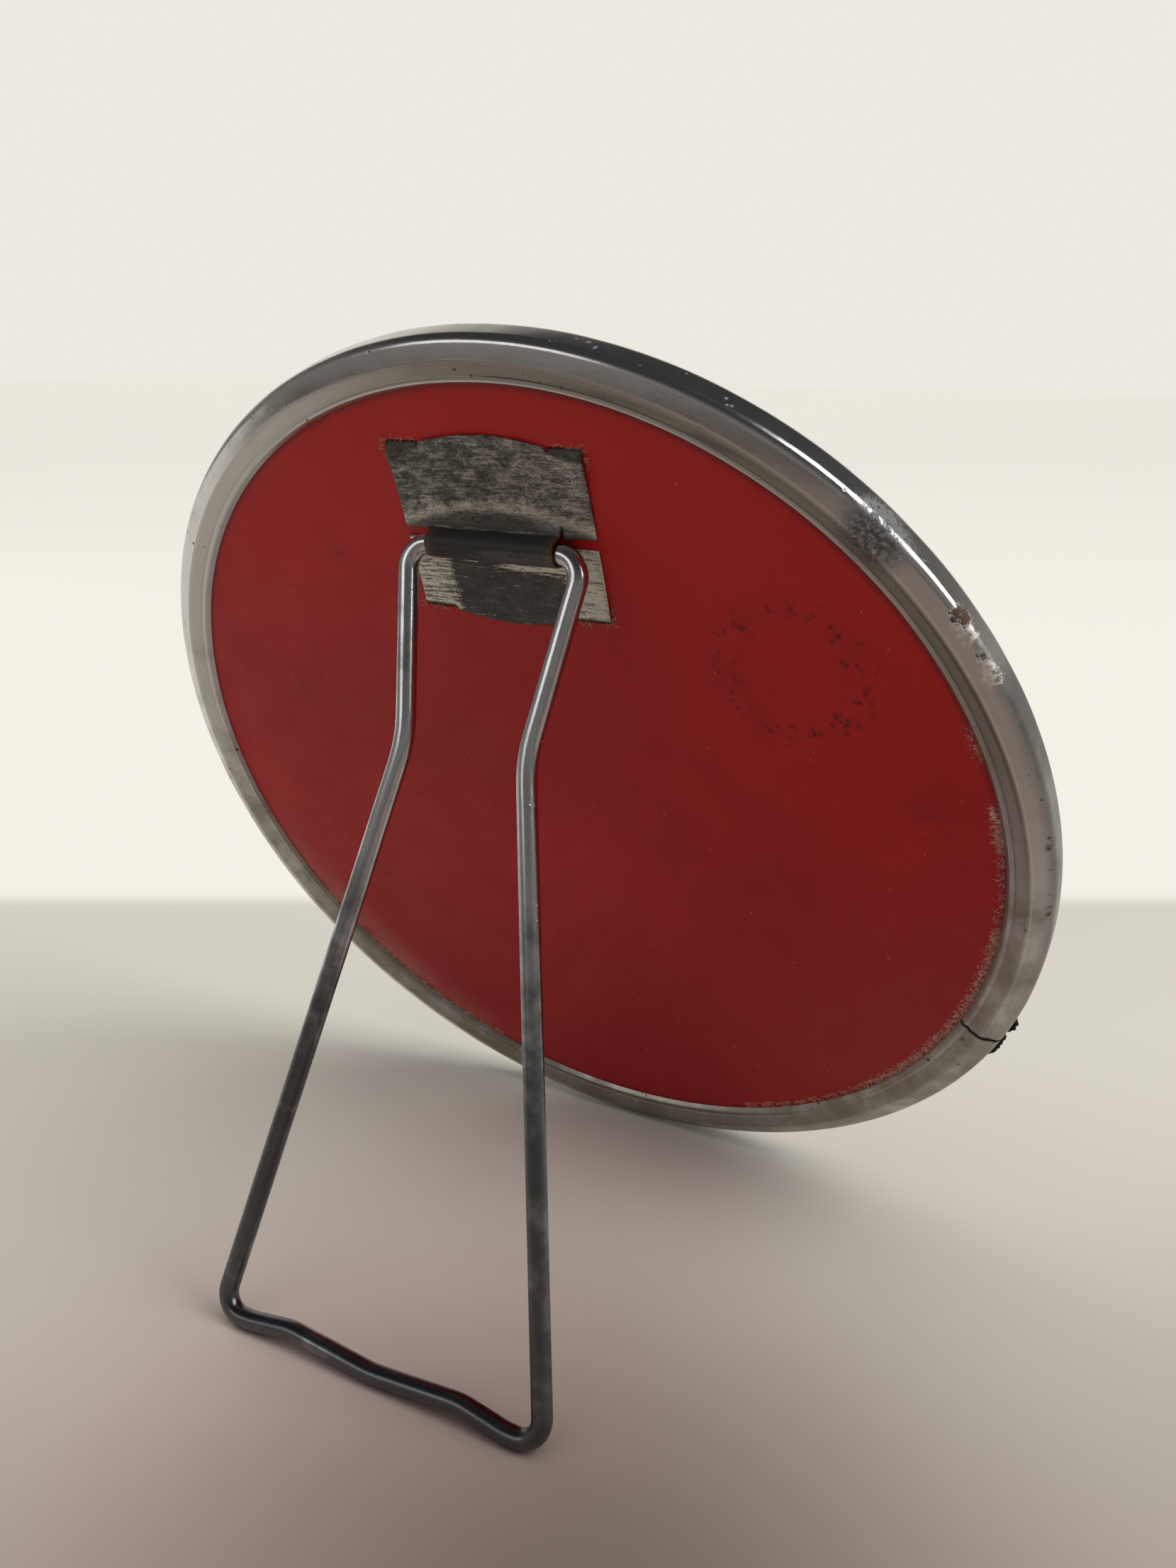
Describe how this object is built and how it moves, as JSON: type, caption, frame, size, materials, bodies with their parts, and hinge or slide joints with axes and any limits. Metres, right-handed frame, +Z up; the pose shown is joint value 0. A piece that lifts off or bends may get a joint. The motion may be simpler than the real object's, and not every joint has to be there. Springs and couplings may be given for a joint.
{
  "type": "easel-back display plaque",
  "caption": "Round glazed display plaque in a rolled metal rim, with a hinged bent-wire stand on its red back board.",
  "frame": {"origin": "floor level, under the middle of the standing plaque's footprint box", "axes": "+Z up; +X across the disc; +Y towards the back, where the wire stand is; the front faces -Y and leans back 20 degrees"},
  "size_m": [0.152, 0.0868, 0.1439],
  "materials": {
    "nickel_rim": "nickel-plated steel, tarnished",
    "face_glass": "clear flat glass",
    "printed_card": null,
    "grey_board": "grey strawboard",
    "red_paper": "deep red coated paper, scuffed",
    "tinplate": "worn, darkened tinplate",
    "bright_wire": "bright drawn steel wire"
  },
  "bodies": {
    "plaque": {"rim_channel": "nickel_rim", "face_glass": "face_glass", "printed_card": "printed_card", "packing_sheet": "grey_board", "back_board": "grey_board", "cover_paper": "red_paper", "hinge_plate": "tinplate"},
    "stand": {"wire_bail": "bright_wire"}
  },
  "joints": [
    {"name": "stand_hinge", "type": "hinge", "parent": "plaque", "child": "stand", "pos_m": [0.0009, 0.00489, 0.11423], "axis": [1, 0, 0], "range_deg": [-37.4, 138.5]}
  ]
}
